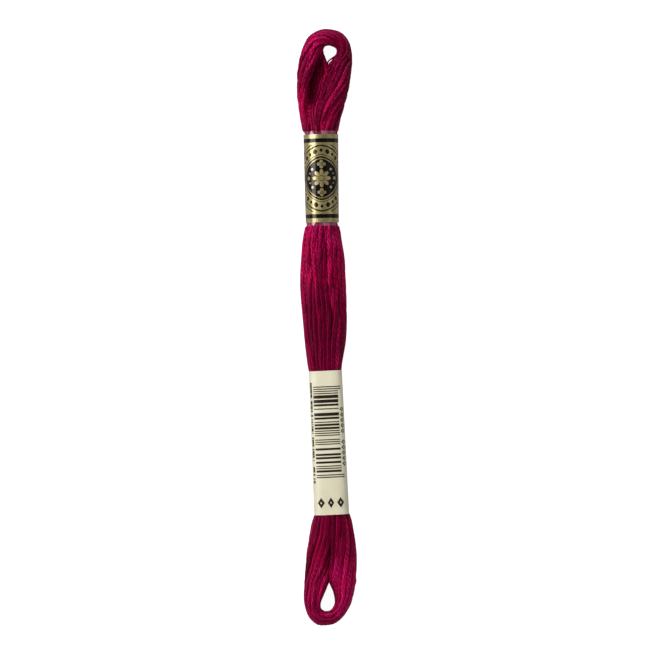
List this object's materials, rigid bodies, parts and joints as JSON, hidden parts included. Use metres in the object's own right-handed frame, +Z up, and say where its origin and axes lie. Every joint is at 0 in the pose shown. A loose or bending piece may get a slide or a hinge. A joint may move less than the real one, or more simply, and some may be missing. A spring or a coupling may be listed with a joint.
{
  "type": "skein of embroidery floss",
  "caption": "Long hank of stranded cotton embroidery floss, wound into a closed skein with an open eye at each end, held by a shiny film band and a longer paper label.",
  "frame": {"origin": "middle of the skein in plan, on the surface that it lies on", "axes": "+X across the skein, +Y along it towards the eye beside the shiny band, +Z up"},
  "size_m": [0.0167, 0.163, 0.0088],
  "materials": {
    "floss": "soft sheen",
    "film": "gloss",
    "label": "satin"
  },
  "bodies": {
    "root": {"hank": "floss", "upper_band": "film", "lower_band": "label"}
  },
  "joints": []
}
